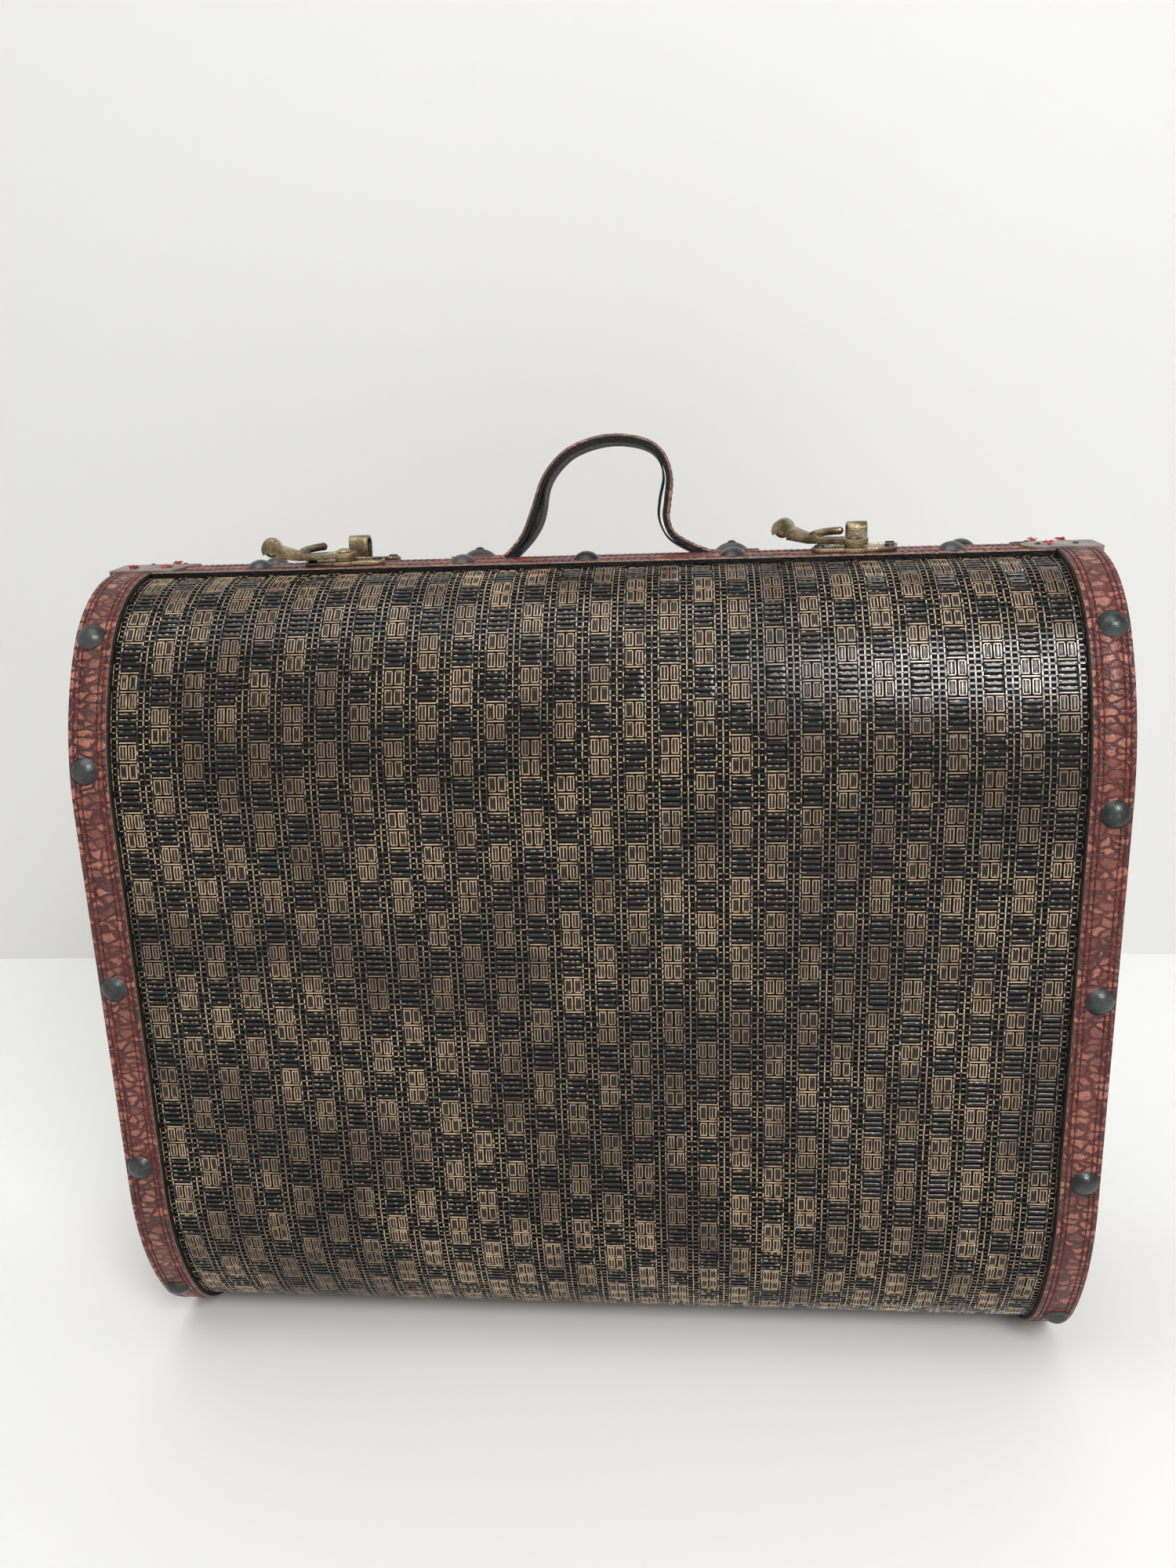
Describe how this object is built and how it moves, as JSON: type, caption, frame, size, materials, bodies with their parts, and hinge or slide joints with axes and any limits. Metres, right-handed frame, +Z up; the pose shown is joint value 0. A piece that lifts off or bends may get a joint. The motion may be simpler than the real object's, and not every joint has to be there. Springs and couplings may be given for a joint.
{
  "type": "suitcase",
  "caption": "Upright hard suitcase with rounded shells, woven-look covering, studded leather edging, a strap handle and swinging horn latches on top.",
  "frame": {"origin": "under the middle of the case, on the floor, in the seam between the two halves", "axes": "+X to the right along the case as seen from the front, +Y from the front half to the back half, +Z up"},
  "size_m": [0.4048, 0.1558, 0.3934],
  "materials": {
    "leather": "crackled red-brown, satin",
    "leatherette": "embossed woven pattern in black and tan, semi-gloss",
    "board": "raw board",
    "lining": "plain matt paper",
    "old_brass": "antique, worn at the edges",
    "dark_metal": "gunmetal, satin",
    "corner_plate": "dull grey-brown sheet"
  },
  "bodies": {
    "back_half": {"back_panel": "board", "back_left_end": "board", "back_right_end": "board", "back_lining": "lining", "back_cover": "leatherette", "back_left_end_cover": "leatherette", "back_right_end_cover": "leatherette", "back_left_band": "leather", "back_right_band": "leather", "back_top_rim": "leather", "back_bottom_rim": "leather", "back_left_rim": "leather", "back_right_rim": "leather", "back_left_corner": "corner_plate", "back_right_corner": "corner_plate", "back_corner_pins": "dark_metal", "back_nails": "dark_metal", "handle_strap": "leather", "left_rosette": "dark_metal", "right_rosette": "dark_metal", "handle_screws": "dark_metal", "left_staple_plate": "old_brass", "right_staple_plate": "old_brass", "left_staple": "old_brass", "right_staple": "old_brass", "staple_screws": "dark_metal", "left_hinge_back_leaf": "old_brass", "right_hinge_back_leaf": "old_brass", "left_hinge_pin": "old_brass", "right_hinge_pin": "old_brass", "back_hinge_screws": "dark_metal"},
    "front_half": {"front_panel": "board", "front_left_end": "board", "front_right_end": "board", "front_lining": "lining", "front_cover": "leatherette", "front_left_end_cover": "leatherette", "front_right_end_cover": "leatherette", "front_left_band": "leather", "front_right_band": "leather", "front_top_rim": "leather", "front_bottom_rim": "leather", "front_left_rim": "leather", "front_right_rim": "leather", "front_left_corner": "corner_plate", "front_right_corner": "corner_plate", "front_corner_pins": "dark_metal", "front_nails": "dark_metal", "left_horn_plate": "old_brass", "right_horn_plate": "old_brass", "left_rivet": "old_brass", "right_rivet": "old_brass", "horn_plate_screws": "dark_metal", "left_hinge_front_leaf": "old_brass", "right_hinge_front_leaf": "old_brass", "front_hinge_screws": "dark_metal"},
    "left_horn": {"left_horn": "old_brass"},
    "right_horn": {"right_horn": "old_brass"}
  },
  "joints": [
    {"name": "lid_hinge", "type": "hinge", "parent": "back_half", "child": "front_half", "pos_m": [0, 0, 0.0023], "axis": [1, 0, 0], "range_deg": [0, 105]},
    {"name": "left_horn_pivot", "type": "hinge", "parent": "front_half", "child": "left_horn", "pos_m": [-0.103, -0.00815, 0.34409], "axis": [0, -0.0872, 0.9962], "range_deg": [-78, 22]},
    {"name": "right_horn_pivot", "type": "hinge", "parent": "front_half", "child": "right_horn", "pos_m": [0.107, -0.00815, 0.34409], "axis": [0, -0.0872, 0.9962], "range_deg": [-46, 54]}
  ]
}
